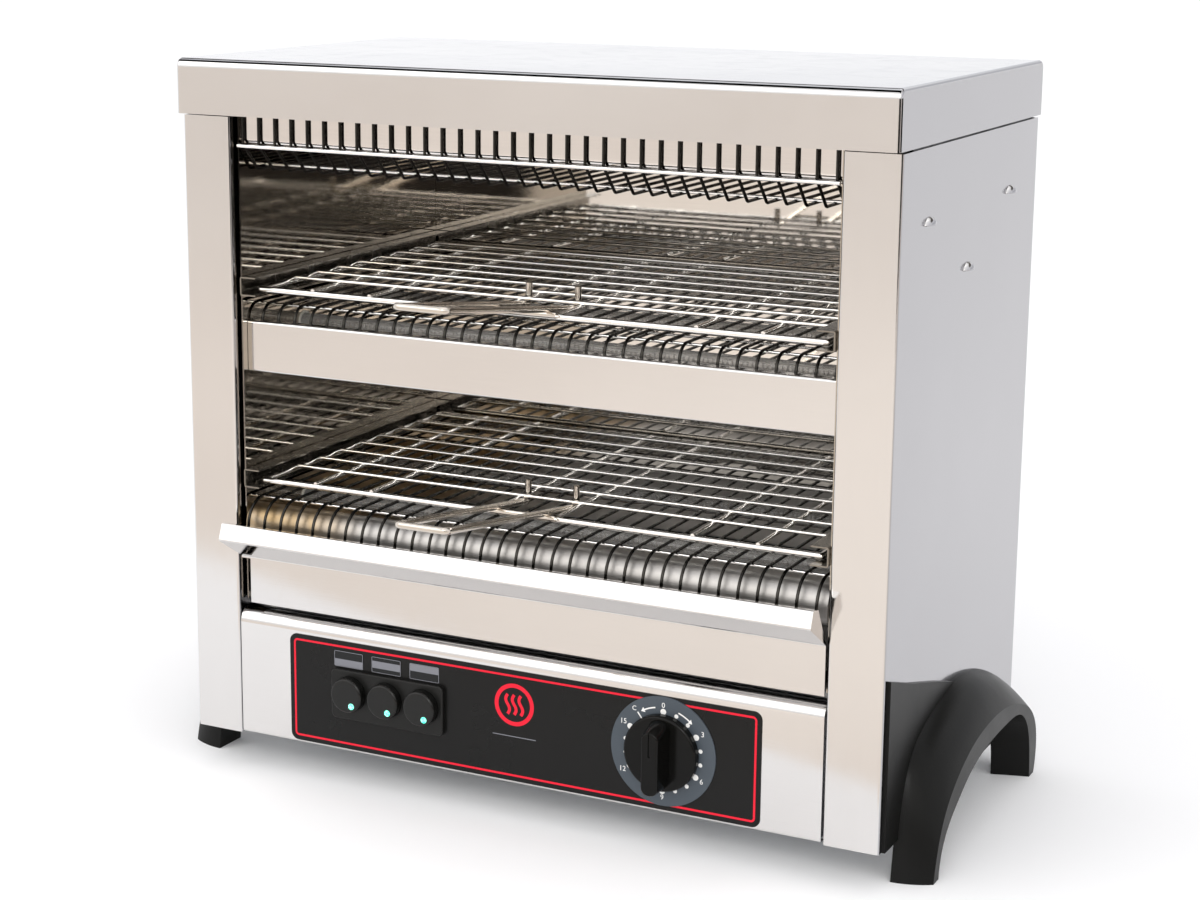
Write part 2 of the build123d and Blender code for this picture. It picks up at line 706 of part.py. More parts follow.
def make_buttons():
    back_y = LABEL_FACE - BUTTON_TRAVEL - 0.4
    cap_length = BEZEL_DEPTH + BUTTON_PROUD - BUTTON_TRAVEL
    for name, x in zip(("bottom", "middle", "top"), BUTTON_XS):
        with BuildPart() as button:
            with BuildSketch(facing(back_y)):
                with Locations((x, BUTTON_Z)):
                    Circle(BUTTON_DIA / 2)
            extrude(amount=cap_length)
            fillet(button.faces().sort_by(Axis.Y)[0].edges(), radius=2.0)
            with BuildSketch(facing(back_y)):
                with Locations((x, BUTTON_Z)):
                    Circle(BUTTON_STEM / 2)
            extrude(amount=-(BUTTON_TRAVEL + 0.4 + LABEL_THICK + SHEET + 5.0))
            with BuildSketch(facing(back_y - cap_length)):
                with Locations((x + LENS_SHIFT[0], BUTTON_Z + LENS_SHIFT[1])):
                    Circle(LENS_DIA / 2 + 0.05)
            extrude(amount=-2.0, mode=Mode.SUBTRACT)
        write(button, f"{name}_heat_button")
        with BuildPart() as lens:
            with BuildSketch(facing(back_y - cap_length + 2.0)):
                with Locations((x + LENS_SHIFT[0], BUTTON_Z + LENS_SHIFT[1])):
                    Circle(LENS_DIA / 2)
            extrude(amount=2.4)
            fillet(lens.faces().sort_by(Axis.Y)[0].edges(), radius=0.35)
        write(lens, f"{name}_heat_lens")
        with BuildPart() as switch:
            with BuildSketch(facing(LABEL_FACE)):
                with Locations((x, BUTTON_Z)):
                    Circle(SWITCH_NECK / 2)
            extrude(amount=-(LABEL_THICK + SHEET + 0.2))
            with BuildSketch(facing(PILLAR_FACE + SHEET + 0.2)):
                with Locations((x, BUTTON_Z)):
                    RectangleRounded(27.0, 30.0, 2.0)
            extrude(amount=-32.0)
            with BuildSketch(facing(LABEL_FACE)):
                with Locations((x, BUTTON_Z)):
                    Circle(BUTTON_STEM / 2 + 0.1)
            extrude(amount=-18.0, mode=Mode.SUBTRACT)
            with BuildSketch(facing(PILLAR_FACE + SHEET + 32.2)):
                with Locations((x, BUTTON_Z)):
                    with GridLocations(12, 14, 2, 2):
                        Rectangle(6.3, 0.8)
            extrude(amount=-8.0)
        write(switch, f"{name}_heat_switch")


def make_timer():
    dial_face = LABEL_FACE - DIAL_THICK
    with BuildPart() as dial_plate:
        with BuildSketch(facing(LABEL_FACE)):
            with Locations((TIMER_X, TIMER_Z)):
                Circle(DIAL_DIA / 2)
                Circle(TIMER_NECK / 2 + 0.2, mode=Mode.SUBTRACT)
        extrude(amount=DIAL_THICK)
        fillet(dial_plate.faces().sort_by(Axis.Y)[0].edges().sort_by(SortBy.LENGTH)[-1], radius=0.4)
    write(dial_plate, "dial_plate")
    knob_back = dial_face - 0.5
    skirt = 6.0
    grip = 16.0
    with BuildPart() as timer_knob:
        with BuildSketch(facing(knob_back)):
            with Locations((TIMER_X, TIMER_Z)):
                Circle(KNOB_DIA / 2)
        extrude(amount=skirt)
        fillet(timer_knob.faces().sort_by(Axis.Y)[0].edges(), radius=2.0)
        with BuildSketch(facing(knob_back - skirt)):
            with Locations((TIMER_X, TIMER_Z)):
                RectangleRounded(16.0, KNOB_DIA - 5.0, 7.0)
        with BuildSketch(facing(knob_back - skirt - grip)):
            with Locations((TIMER_X, TIMER_Z - 2.5)):
                RectangleRounded(12.0, KNOB_DIA - 9.0, 5.5)
        loft()
        fillet(timer_knob.faces().sort_by(Axis.Y)[0].edges(), radius=1.5)
        with BuildSketch(facing(knob_back)):
            with Locations((TIMER_X, TIMER_Z)):
                Circle(SHAFT_DIA / 2 + 0.05)
        extrude(amount=14.0, mode=Mode.SUBTRACT)
        # Pointer groove along the upper half of the grip.
        with BuildSketch(facing(knob_back - skirt - grip)):
            with Locations((TIMER_X, TIMER_Z + 12.0)):
                Rectangle(1.6, 18.0)
        extrude(amount=-0.8, mode=Mode.SUBTRACT)
    write(timer_knob, "timer_knob")
    shaft_front = knob_back - 13.0
    shaft_back = PILLAR_FACE + SHEET + 20.0
    with BuildPart() as timer_shaft:
        with BuildSketch(facing(shaft_back)):
            with Locations((TIMER_X, TIMER_Z)):
                Circle(SHAFT_DIA / 2)
        extrude(amount=shaft_back - shaft_front)
    write(timer_shaft, "timer_shaft")
    with BuildPart() as timer_body:
        with BuildSketch(facing(LABEL_FACE)):
            with Locations((TIMER_X, TIMER_Z)):
                Circle(TIMER_NECK / 2)
        extrude(amount=-(LABEL_THICK + SHEET + 0.2))
        with BuildSketch(facing(PILLAR_FACE + SHEET + 0.2)):
            with Locations((TIMER_X, TIMER_Z)):
                RectangleRounded(50.0, 50.0, 6.0)
        extrude(amount=-34.0)
        with BuildSketch(facing(LABEL_FACE)):
            with Locations((TIMER_X, TIMER_Z)):
                Circle(SHAFT_DIA / 2 + 0.08)
        extrude(amount=-24.0, mode=Mode.SUBTRACT)
        with BuildSketch(facing(PILLAR_FACE + SHEET + 34.2)):
            with Locations((TIMER_X, TIMER_Z)):
                with GridLocations(16, 20, 2, 2):
                    Rectangle(6.3, 0.8)
        extrude(amount=-8.0)
    write(timer_body, "timer_body")


def make_electrics():
    block_z = UNDERSIDE + SHEET
    block_y = FRONT + 262.0
    with BuildPart() as terminal_block:
        with BuildSketch(Plane.XY.offset(block_z)):
            with Locations((-190, block_y)):
                RectangleRounded(70, 26, 2)
        extrude(amount=22)
        with BuildSketch(Plane.XY.offset(block_z + 22)):
            with Locations((-190, block_y)):
                with GridLocations(12, 12, 5, 2):
                    Circle(3.2)
        extrude(amount=-8, mode=Mode.SUBTRACT)
    write(terminal_block, "terminal_block")
    gland_back = FRONT + 322.0
    with BuildPart() as cable_gland:
        with BuildSketch(facing(SIDE_BACK + 0.1)):
            with Locations((GLAND_X, GLAND_Z)):
                RegularPolygon(14.0, 6)
        extrude(amount=-6.0)
        with BuildSketch(facing(SIDE_BACK + 6.1)):
            with Locations((GLAND_X, GLAND_Z)):
                Circle(12.0)
        extrude(amount=-(gland_back - SIDE_BACK - 6.1))
        fillet(cable_gland.faces().sort_by(Axis.Y)[-1].edges(), radius=3.0)
        with BuildSketch(facing(SIDE_BACK + 0.1)):
            with Locations((GLAND_X, GLAND_Z)):
                Circle(10.0)
        extrude(amount=12.0)
        with BuildSketch(facing(SIDE_BACK - SHEET - 0.2)):
            with Locations((GLAND_X, GLAND_Z)):
                RegularPolygon(14.0, 6)
        extrude(amount=5.0)
        with Locations(Location((GLAND_X, SIDE_BACK, GLAND_Z), (90, 0, 0))):
            Hole(radius=5.2)
    write(cable_gland, "cable_gland")
    # One loom lies along the base, with a branch up to each switch and to the timer.
    loom_z = UNDERSIDE + SHEET + 4.5
    loom_y = FRONT + 80.0
    trunk = wire(
        [(-190, FRONT + 248.9, loom_z), (-190, loom_y, loom_z), (TIMER_X, loom_y, loom_z)], 7.0, 20.0
    )
    branches = []
    for x in BUTTON_XS:
        route = [(x, loom_y, loom_z), (x, loom_y, BUTTON_Z), (x, PILLAR_FACE + SHEET + 33.0, BUTTON_Z)]
        branches.append(wire(route, 4.0, 10.0))
    route = [
        (TIMER_X, loom_y, loom_z),
        (TIMER_X, loom_y, TIMER_Z),
        (TIMER_X, PILLAR_FACE + SHEET + 35.0, TIMER_Z),
    ]
    branches.append(wire(route, 4.0, 10.0))
    with BuildPart() as wiring_loom:
        add(trunk)
        add(branches)
        with Locations((TIMER_X, loom_y, loom_z)):
            Sphere(3.5)
    write(wiring_loom, "wiring_loom")


# ---------------------------------------------------------------- feet and screws

FOOT_SCREWS = ((FOOT_MID_Y - 95.0, 47.0), (FOOT_MID_Y, 76.0), (FOOT_MID_Y + 95.0, 47.0))
FOOT_SCREW_DIA = 5.0
FOOT_SCREW_HOLE = 5.4
WEB_THICK = 2.6


# Side outlines of the foot as (y, z), front leg to rear leg: on the casing side and on the outer side.
INNER_TOP = (
    (-67.5, -2.0),
    (-63.0, 25.0),
    (-55.0, 56.0),
    (-40.0, 80.0),
    (-3.0, 97.0),
    (52.0, 105.0),
    (95.0, 100.0),
    (135.0, 86.0),
    (165.0, 64.0),
    (180.0, 40.0),
    (185.0, 14.0),
    (181.0, -2.0),
)
OUTER_TOP = (
    (-58.5, -2.0),
    (-52.0, 20.0),
    (-40.0, 40.0),
    (-20.0, 56.0),
    (16.0, 71.0),
    (60.0, 77.0),
    (98.0, 75.0),
    (135.0, 66.0),
    (162.0, 53.0),
    (177.0, 36.0),
    (180.0, 14.0),
    (175.0, -2.0),
)
INNER_UNDER = (
    (-39.6, -2.0),
    (-27.0, 26.0),
    (-4.0, 41.0),
    (20.0, 52.0),
    (52.0, 58.0),
    (105.0, 59.5),
    (131.0, 54.0),
    (147.0, 40.0),
    (155.0, 20.0),
    (157.2, -2.0),
)
OUTER_UNDER = (
    (-47.8, -2.0),
    (-35.0, 27.0),
    (-10.0, 42.5),
    (17.0, 54.0),
    (52.0, 60.5),
    (105.0, 62.0),
    (137.0, 57.0),
    (155.0, 42.0),
    (163.0, 20.0),
    (165.2, -2.0),
)
# How far each section has gone from the inner to the outer outline, by its distance from the casing.
FOOT_STATIONS = ((0.0, 0.0), (9.0, 0.12), (17.0, 0.40), (23.0, 0.72), (27.0, 1.0))


def between(first, second, part):
    """Points a given part of the way from one outline to another."""
    return [(a[0] + part * (b[0] - a[0]), a[1] + part * (b[1] - a[1])) for a, b in zip(first, second)]


def make_feet():
    web = (
        (FRONT + 12.7, UNDERSIDE),
        (FRONT + 12.7, 145.0),
        (-40.0, 130.0),
        (15.0, 115.0),
        (51.0, 104.0),
        (100.0, 97.0),
        (135.0, 84.0),
        (165.0, 62.0),
        (178.0, UNDERSIDE),
    )
    with BuildPart() as right_foot:
        for out, part in FOOT_STATIONS:
            under_part = out / FOOT_STATIONS[-1][0]
            top = between(INNER_TOP, OUTER_TOP, part)
            under = between(INNER_UNDER, OUTER_UNDER, under_part)
            with BuildSketch(SIDE_PLANE.offset(FOOT_INNER_X + out)):
                with BuildLine():
                    Spline(*top)
                    Line(top[-1], under[-1])
                    Spline(*under)
                    Line(under[0], top[0])
                make_face()
        loft()
        with BuildSketch(SIDE_PLANE.offset(FOOT_INNER_X)):
            with BuildLine():
                Polyline(*web, close=True)
            make_face()
        extrude(amount=WEB_THICK)
        with Locations(*[Location((FOOT_INNER_X, y, z), (0, -90, 0)) for y, z in FOOT_SCREWS]):
            Hole(radius=FOOT_SCREW_DIA / 2 + 0.05, depth=9.0)
        # Both legs are cut off level on the worktop.
        with BuildSketch(Plane.XY):
            with Locations((FOOT_INNER_X + 15.0, FOOT_MID_Y)):
                Rectangle(60.0, 300.0)
        extrude(amount=-5.0, mode=Mode.SUBTRACT)
    write(right_foot, "right_foot")
    with BuildPart() as left_foot:
        mirror(right_foot.part, about=Plane.YZ)
    write(left_foot, "left_foot")


def make_screws():
    with BuildPart() as foot_screws:
        for side in (-1, 1):
            wall = side * (HALF_WIDTH - SHEET - 0.1)
            with BuildSketch(SIDE_PLANE.offset(wall)):
                with Locations(*FOOT_SCREWS):
                    Circle(4.6)
            extrude(amount=-side * 3.0)
            with BuildSketch(SIDE_PLANE.offset(wall)):
                with Locations(*FOOT_SCREWS):
                    Circle(FOOT_SCREW_DIA / 2)
            extrude(amount=side * 9.0)
            with BuildSketch(SIDE_PLANE.offset(wall - side * 3.0)):
                with Locations(*FOOT_SCREWS):
                    RegularPolygon(2.4, 6)
            extrude(amount=side * 1.6, mode=Mode.SUBTRACT)
    write(foot_screws, "foot_screws")
    with BuildPart() as back_screws:
        with BuildSketch(facing(SIDE_BACK + 0.1)):
            with Locations(*BACK_SCREWS):
                Circle(4.0)
        extrude(amount=-2.2)
        fillet(back_screws.faces().filter_by(Axis.Y).group_by(Axis.Y)[-1].edges(), radius=0.9)
        with BuildSketch(facing(SIDE_BACK + 0.1)):
            with Locations(*BACK_SCREWS):
                Circle(BACK_SCREW_DIA / 2)
        extrude(amount=6.0)
        with BuildSketch(facing(SIDE_BACK + 2.3)):
            with Locations(*BACK_SCREWS):
                Rectangle(5.0, 0.9)
                Rectangle(0.9, 5.0)
        extrude(amount=1.2, mode=Mode.SUBTRACT)
    write(back_screws, "back_screws")


make_top_cover()
make_side_panels()
make_back_panel()
make_base_pan()
make_roof_frame()
make_inner_walls()
make_mid_front_bar()
make_tray_deck()
make_control_panel()
make_heating()
make_reflectors()
make_guards()
for rack_row, rack_level in RACK_LEVELS.items():
    make_rack(f"{rack_row}_rack", rack_level)
    make_handle(f"{rack_row}_rack_handle", rack_level)
make_rails()
make_crumb_tray()
make_label()
make_button_bezel()
make_buttons()
make_timer()
make_electrics()
make_feet()
make_screws()
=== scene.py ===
"""Two-level open-front quartz toaster: finishes, printed label, lighting and camera."""

import math

import bmesh
import bpy
from mathutils import Matrix, Vector


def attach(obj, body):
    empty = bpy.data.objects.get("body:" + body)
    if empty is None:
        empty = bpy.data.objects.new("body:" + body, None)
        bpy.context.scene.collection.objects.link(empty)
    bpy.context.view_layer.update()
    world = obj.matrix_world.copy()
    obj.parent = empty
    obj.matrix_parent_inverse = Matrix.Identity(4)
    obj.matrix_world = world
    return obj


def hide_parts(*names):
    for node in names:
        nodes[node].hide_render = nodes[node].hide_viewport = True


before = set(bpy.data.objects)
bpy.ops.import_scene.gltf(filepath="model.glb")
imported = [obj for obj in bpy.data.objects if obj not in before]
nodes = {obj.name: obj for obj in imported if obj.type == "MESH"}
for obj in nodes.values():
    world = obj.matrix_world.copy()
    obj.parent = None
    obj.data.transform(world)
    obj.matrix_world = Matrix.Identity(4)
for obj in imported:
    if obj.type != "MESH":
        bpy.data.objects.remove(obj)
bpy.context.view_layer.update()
scene = bpy.context.scene
MM = 0.001


# ---------------------------------------------------------------- camera

CAMERA_AT = (0.7372, -1.4750, 0.6350)
CAMERA_TURN = (78.01, -0.34, 27.16)

camera_data = bpy.data.cameras.new("camera")
camera_data.lens = 71.07
camera_data.sensor_width = 36.0
camera_data.shift_x = 0.0374
camera_data.shift_y = -0.0402
camera = bpy.data.objects.new("camera", camera_data)
camera.location = CAMERA_AT
camera.rotation_euler = [math.radians(a) for a in CAMERA_TURN]
scene.collection.objects.link(camera)
scene.camera = camera
scene.view_settings.view_transform = "Standard"


# ---------------------------------------------------------------- node helpers


class Graph:
    """A node tree with short calls for the few nodes that the finishes use."""

    def __init__(self, tree):
        self.tree = tree
        tree.nodes.clear()

    def node(self, kind, settings=None, **links):
        made = self.tree.nodes.new(kind)
        for key, value in (settings or {}).items():
            setattr(made, key, value)
        for key, value in links.items():
            self.put(made, key.replace("_", " "), value)
        return made

    def put(self, node, socket, value):
        socket = node.inputs[socket]
        if isinstance(value, bpy.types.NodeSocket):
            self.tree.links.new(value, socket)
        else:
            socket.default_value = value

    def math(self, operation, first, second=0.0, clamp=False):
        made = self.node("ShaderNodeMath", {"operation": operation, "use_clamp": clamp})
        self.put(made, 0, first)
        self.put(made, 1, second)
        return made.outputs[0]

    def ramp(self, value, low, high, to_low=0.0, to_high=1.0, smooth=False):
        made = self.node("ShaderNodeMapRange", {"clamp": True})
        if smooth:
            made.interpolation_type = "SMOOTHSTEP"
        for index, number in enumerate((value, low, high, to_low, to_high)):
            self.put(made, index, number)
        return made.outputs[0]

    def blend(self, factor, first, second):
        made = self.node("ShaderNodeMix", {"data_type": "RGBA"})
        self.put(made, 0, factor)
        self.put(made, 6, first)
        self.put(made, 7, second)
        return made.outputs[2]

    def coords(self, scale=(1, 1, 1)):
        place = self.node("ShaderNodeTexCoord")
        stretch = self.node("ShaderNodeMapping", Vector=place.outputs["Object"])
        stretch.inputs["Scale"].default_value = scale
        return stretch.outputs[0]

    def noise(self, scale=(1, 1, 1), size=1.0, detail=3.0, roughness=0.5, distortion=0.0):
        made = self.node("ShaderNodeTexNoise", Vector=self.coords(scale))
        for key, value in (
            ("Scale", size),
            ("Detail", detail),
            ("Roughness", roughness),
            ("Distortion", distortion),
        ):
            made.inputs[key].default_value = value
        return made.outputs["Fac"]

    def axes(self):
        place = self.node("ShaderNodeTexCoord")
        split = self.node("ShaderNodeSeparateXYZ", Vector=place.outputs["Object"])
        return split.outputs

    def facing(self):
        """Masks for the faces that look sideways and upwards, from the object's own normals."""
        place = self.node("ShaderNodeTexCoord")
        way = self.node("ShaderNodeSeparateXYZ", Vector=place.outputs["Normal"]).outputs
        return self.ramp(self.math("ABSOLUTE", way[0]), 0.5, 0.8), self.ramp(way[2], 0.55, 0.85)

    def near(self, value, centre, reach):
        made = self.node("ShaderNodeMath", {"operation": "COMPARE"})
        for index, number in enumerate((value, centre, reach)):
            self.put(made, index, number)
        return made.outputs[0]

    def bump(self, height, strength, distance, under=None):
        made = self.node("ShaderNodeBump", Height=height)
        made.inputs["Strength"].default_value = strength
        made.inputs["Distance"].default_value = distance
        if under is not None:
            self.put(made, "Normal", under)
        return made.outputs[0]


def colour(r, g, b):
    return (r, g, b, 1.0)


def shades(rgb, spread):
    """A darker and a lighter version of one colour."""
    return colour(*[c * (1 - spread) for c in rgb]), colour(*[min(1, c * (1 + spread)) for c in rgb])


def finish_material(graph, shader):
    out = graph.node("ShaderNodeOutputMaterial")
    graph.tree.links.new(shader.outputs[0], out.inputs[0])


def new_material(name):
    made = bpy.data.materials.new(name)
    made.use_nodes = True
    return made, Graph(made.node_tree)


ALONG_X = (1, 90, 90)
ALONG_Y = (90, 1, 90)
ALONG_Z = (90, 90, 1)


def steel(
    name,
    rgb,
    rough,
    grain=ALONG_X,
    size=24.0,
    depth=0.12,
    wave=0.0,
    smudge=0.05,
    spread=0.03,
    side=None,
    top=None,
):
    """Stainless sheet: a directional grain, a slow waviness of the sheet, and smudges that change its gloss.

    On a folded panel, the side and top faces may take other colours: painted shade, darker copies that stand
    in for how the light falls on them.
    """
    made, g = new_material(name)
    low, high = shades(rgb, spread)
    lines = g.noise(grain, size, 4.0, 0.65)
    cloud = g.noise((1, 1, 1), 9.0, 4.0, 0.55, 0.4)
    tone = g.math("ADD", g.math("MULTIPLY", lines, 0.5), g.math("MULTIPLY", cloud, 0.5))
    base = g.blend(g.ramp(tone, 0.3, 0.7), low, high)
    # Painted shade: faces that look sideways or up take a darker copy of the colour.
    sideways, upwards = g.facing()
    for mask, other in ((sideways, side), (upwards, top)):
        if other:
            dim, lit = shades(other, spread)
            base = g.blend(mask, base, g.blend(g.ramp(tone, 0.3, 0.7), dim, lit))
    marks = g.noise((1, 1, 1), 38.0, 5.0, 0.6, 1.2)
    gloss = g.math(
        "ADD",
        g.ramp(marks, 0.45, 0.72, rough, rough + smudge),
        g.ramp(lines, 0.25, 0.75, -0.02, 0.03),
    )
    normal = g.bump(lines, depth, 0.00012)
    if wave:
        swell = g.noise((1, 1, 1), 4.2, 1.0, 0.4)
        normal = g.bump(swell, wave, 0.004, normal)
    shader = g.node("ShaderNodeBsdfPrincipled")
    g.put(shader, "Base Color", base)
    g.put(shader, "Roughness", gloss)
    g.put(shader, "Normal", normal)
    shader.inputs["Metallic"].default_value = 1.0
    finish_material(g, shader)
    return made


def plated(name, rgb, rough, size=140.0, spread=0.06, pits=0.1):
    """Drawn and plated wire or pressed hardware: fine pits and slightly uneven plating."""
    made, g = new_material(name)
    low, high = shades(rgb, spread)
    cloud = g.noise((1, 1, 1), size * 0.35, 3.0, 0.6)
    fine = g.noise((1, 1, 1), size * 4, 3.0, 0.6)
    shader = g.node("ShaderNodeBsdfPrincipled")
    g.put(shader, "Base Color", g.blend(cloud, low, high))
    g.put(shader, "Roughness", g.ramp(cloud, 0.3, 0.7, rough * 0.8, rough * 1.35))
    g.put(shader, "Normal", g.bump(fine, pits, 0.0001))
    shader.inputs["Metallic"].default_value = 1.0
    finish_material(g, shader)
    return made


def plastic(name, rgb, rough, grain=900.0, depth=0.15, spread=0.08, sheen_size=16.0, specular=0.5):
    """Moulded plastic: a spark-eroded grain with slow changes of gloss."""
    made, g = new_material(name)
    low, high = shades(rgb, spread)
    cloud = g.noise((1, 1, 1), sheen_size, 4.0, 0.6, 0.3)
    fine = g.noise((1, 1, 1), grain, 2.0, 0.7)
    shader = g.node("ShaderNodeBsdfPrincipled")
    g.put(shader, "Base Color", g.blend(cloud, low, high))
    g.put(shader, "Roughness", g.ramp(cloud, 0.3, 0.7, rough * 0.88, rough * 1.12))
    g.put(shader, "Normal", g.bump(fine, depth, 0.0002))
    shader.inputs["Specular IOR Level"].default_value = specular
    finish_material(g, shader)
    return made


# ---------------------------------------------------------------- finishes

NEUTRAL = (0.60, 0.60, 0.61)
FRONT = (0.69, 0.675, 0.665)
# Painted shade: darker copies of the front colour, for faces that look sideways and up.
SIDE_PAINTED_SHADE = (0.44, 0.435, 0.45)
TOP_PAINTED_SHADE = (0.55, 0.555, 0.575)

finishes = {
    "cover_steel": steel("cover_steel", FRONT, 0.075, ALONG_X, wave=0.25, depth=0.05, side=SIDE_PAINTED_SHADE, top=TOP_PAINTED_SHADE),
    "side_steel": steel("side_steel", FRONT, 0.1, ALONG_Z, wave=0.25, depth=0.05, side=SIDE_PAINTED_SHADE),
    "front_steel": steel("front_steel", FRONT, 0.06, ALONG_X, wave=0.2, depth=0.05),
    "back_steel": steel("back_steel", NEUTRAL, 0.24, ALONG_X, wave=0.2),
    "inner_steel": steel(
        "inner_steel", (0.44, 0.40, 0.345), 0.02, ALONG_Y, wave=0.2, smudge=0.04, spread=0.15, depth=0.03
    ),
    "back_mirror": steel(
        "back_mirror", (0.74, 0.71, 0.67), 0.015, ALONG_X, wave=0.15, smudge=0.03, spread=0.06, depth=0.02
    ),
    "rail_steel": steel("rail_steel", (0.26, 0.24, 0.21), 0.2, ALONG_Y, smudge=0.1, spread=0.15),
    "tray_steel": steel("tray_steel", NEUTRAL, 0.2, ALONG_X),
    "tray_front_steel": steel("tray_front_steel", (0.67, 0.655, 0.645), 0.07, ALONG_X, wave=0.15, depth=0.05),
    "reflector_steel": steel(
        "reflector_steel", (0.74, 0.71, 0.685), 0.05, ALONG_X, wave=1.0, spread=0.08, depth=0.05
    ),
    "galvanised": steel("galvanised", (0.52, 0.54, 0.56), 0.38, (1, 1, 1), 60.0, spread=0.18),
    # Painted shade: a near-black zinc for the roof frame, which is seen only through a gap in shadow.
    "painted_shade_zinc": plated("painted_shade_zinc", (0.07, 0.07, 0.075), 0.5),
    "plated_steel": plated("plated_steel", (0.62, 0.61, 0.58), 0.25),
    "rack_chrome": plated("rack_chrome", (0.90, 0.885, 0.86), 0.12),
    "handle_steel": plated("handle_steel", (0.62, 0.57, 0.51), 0.14),
    "coil_wire": plated("coil_wire", (0.26, 0.22, 0.19), 0.4),
    "ceramic": plastic("ceramic", (0.80, 0.77, 0.70), 0.5, 400.0, 0.25, 0.06),
    "label_black": plastic("label_black", (0.0060, 0.0058, 0.0056), 0.28, 1400.0, 0.05, 0.1, specular=0.2),
    "window_grey": plastic("window_grey", (0.009, 0.010, 0.011), 0.2, 1400.0, 0.04, 0.05, specular=0.25),
    "bezel_black": plastic("bezel_black", (0.0065, 0.0065, 0.006), 0.36, 1100.0, 0.2, specular=0.25),
    "button_black": plastic("button_black", (0.0055, 0.0055, 0.005), 0.22, 1100.0, 0.12, specular=0.3),
    "dial_grey": plastic("dial_grey", (0.058, 0.072, 0.088), 0.42, 1500.0, 0.1, 0.14, specular=0.3),
    "knob_black": plastic("knob_black", (0.0030, 0.0030, 0.0027), 0.16, 1000.0, 0.06, specular=0.16),
    "print_white": plastic("print_white", (0.80, 0.80, 0.79), 0.4, 1500.0, 0.05, 0.03),
    "print_grey": plastic("print_grey", (0.19, 0.195, 0.22), 0.35, 1500.0, 0.05, 0.08, specular=0.2),
    "print_red": plastic("print_red", (0.72, 0.012, 0.034), 0.4, 1500.0, 0.05, 0.05, specular=0.2),
    "switch_grey": plastic("switch_grey", (0.10, 0.10, 0.10), 0.5),
    "terminal_white": plastic("terminal_white", (0.72, 0.71, 0.67), 0.45),
    "gland_black": plastic("gland_black", (0.022, 0.022, 0.022), 0.4, 700.0, 0.25),
    "loom_sleeve": plastic("loom_sleeve", (0.06, 0.06, 0.06), 0.65, 300.0, 0.6),
    "foot_black": plastic(
        "foot_black", (0.0075, 0.0075, 0.0072), 0.31, 650.0, 0.25, 0.12, 22.0, specular=0.11
    ),
}


FRONT_BAR_Z = 0.463
FRONT_BAR_REACH = 0.0017
FRONT_BAR_BACK = -0.0861


def guard_finish(name, above, below, bars, wide=0.00125):
    """Dark hoops; the bars that run across are near white, a painted highlight for the light that they catch.

    A bar is found by its depth and by the height band, off the hoops, that only the bars fill.
    """
    made, g = new_material(name)
    place = g.axes()
    band = g.math("MULTIPLY", g.math("GREATER_THAN", place[2], above), g.math("LESS_THAN", place[2], below))
    across = 0.0
    for depth in bars:
        across = g.math("MAXIMUM", across, g.near(place[1], depth, wide))
    bright = g.math("MULTIPLY", band, across)
    if name == "upper_guard":
        level = g.near(place[2], FRONT_BAR_Z, FRONT_BAR_REACH)
        front_bar = g.math("MULTIPLY", level, g.math("LESS_THAN", place[1], FRONT_BAR_BACK))
        bright = g.math("MAXIMUM", bright, front_bar)
    cloud = g.noise((1, 1, 1), 55.0, 3.0, 0.6)
    dark = g.blend(cloud, colour(0.018, 0.017, 0.015), colour(0.06, 0.056, 0.05))
    shader = g.node("ShaderNodeBsdfPrincipled")
    # Painted highlight: the bars take a near-white colour, and the hoops take a dark one.
    g.put(shader, "Base Color", g.blend(bright, dark, colour(0.92, 0.91, 0.90)))
    g.put(shader, "Roughness", g.ramp(bright, 0.0, 1.0, 0.22, 0.14))
    g.put(shader, "Normal", g.bump(g.noise((1, 1, 1), 560.0, 3.0), 0.1, 0.0001))
    shader.inputs["Metallic"].default_value = 1.0
    finish_material(g, shader)
    return made


def roll_finish():
    """The lower reflector: satin along its rolled front, with bronze heat tint towards the left end."""
    made, g = new_material("roll_steel")
    place = g.axes()
    cloud = g.noise((1, 1, 1), 16.0, 4.0, 0.6, 0.8)
    streak = g.noise((1, 60, 60), 14.0, 3.0, 0.6)
    leftward = g.ramp(place[0], -0.12, -0.18, smooth=True)
    tint = g.math("MULTIPLY", leftward, g.ramp(cloud, 0.30, 0.50, 0.35, 1.0))
    grey = g.blend(g.ramp(cloud, 0.3, 0.7), colour(0.42, 0.405, 0.385), colour(0.58, 0.56, 0.54))
    shader = g.node("ShaderNodeBsdfPrincipled")
    g.put(shader, "Base Color", g.blend(tint, grey, colour(0.46, 0.33, 0.18)))
    g.put(shader, "Roughness", g.ramp(cloud, 0.3, 0.7, 0.38, 0.48))
    g.put(shader, "Normal", g.bump(streak, 0.2, 0.0002))
    shader.inputs["Metallic"].default_value = 1.0
    finish_material(g, shader)
    return made


finishes |= {
    "lower_guard": guard_finish("lower_guard", 0.2025, 0.20485, (-0.069, 0.050, 0.175)),
    "middle_guard_low": guard_finish("middle_guard_low", 0.30415, 0.3065, (-0.040, 0.050, 0.175)),
    "middle_guard_high": guard_finish("middle_guard_high", 0.3435, 0.34585, (-0.053, 0.050, 0.175)),
    "upper_guard": guard_finish("upper_guard", 0.44615, 0.4485, (-0.052, 0.050, 0.175)),
}
finishes["roll_steel"] = roll_finish()


def quartz_finish():
    made, g = new_material("quartz")
    cloud = g.noise((1, 60, 60), 12.0, 3.0)
    shader = g.node("ShaderNodeBsdfPrincipled")
    g.put(shader, "Base Color", g.blend(cloud, colour(0.86, 0.85, 0.83), colour(0.96, 0.95, 0.93)))
    g.put(shader, "Roughness", g.ramp(cloud, 0.3, 0.7, 0.12, 0.3))
    shader.inputs["Transmission Weight"].default_value = 0.85
    shader.inputs["IOR"].default_value = 1.46
    finish_material(g, shader)
    return made


